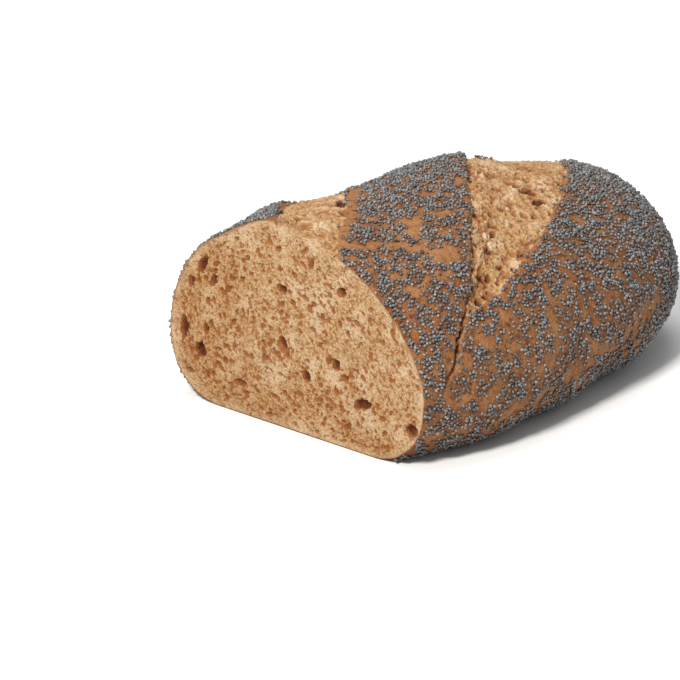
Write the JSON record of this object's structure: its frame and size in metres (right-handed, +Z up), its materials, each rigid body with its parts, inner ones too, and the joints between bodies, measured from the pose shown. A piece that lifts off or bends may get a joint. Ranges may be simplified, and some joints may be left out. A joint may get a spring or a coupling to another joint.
{
  "type": "whole wheat sourdough loaf",
  "caption": "Oval whole wheat sourdough loaf with a poppy seed crust and slanting torn slashes, cut across at one end so that its crumb shows.",
  "frame": {"origin": "centre of the loaf's length and width, on the surface that it rests on", "axes": "+X along the loaf towards its rounded end, away from the cut face; +Y across the loaf; +Z up"},
  "size_m": [0.1847, 0.1324, 0.0794],
  "materials": {
    "bread": "dry golden brown crust with a coat of slate blue-grey poppy seeds, and open tan crumb where it is torn and cut"
  },
  "bodies": {
    "root": {"loaf": "bread"}
  },
  "joints": []
}
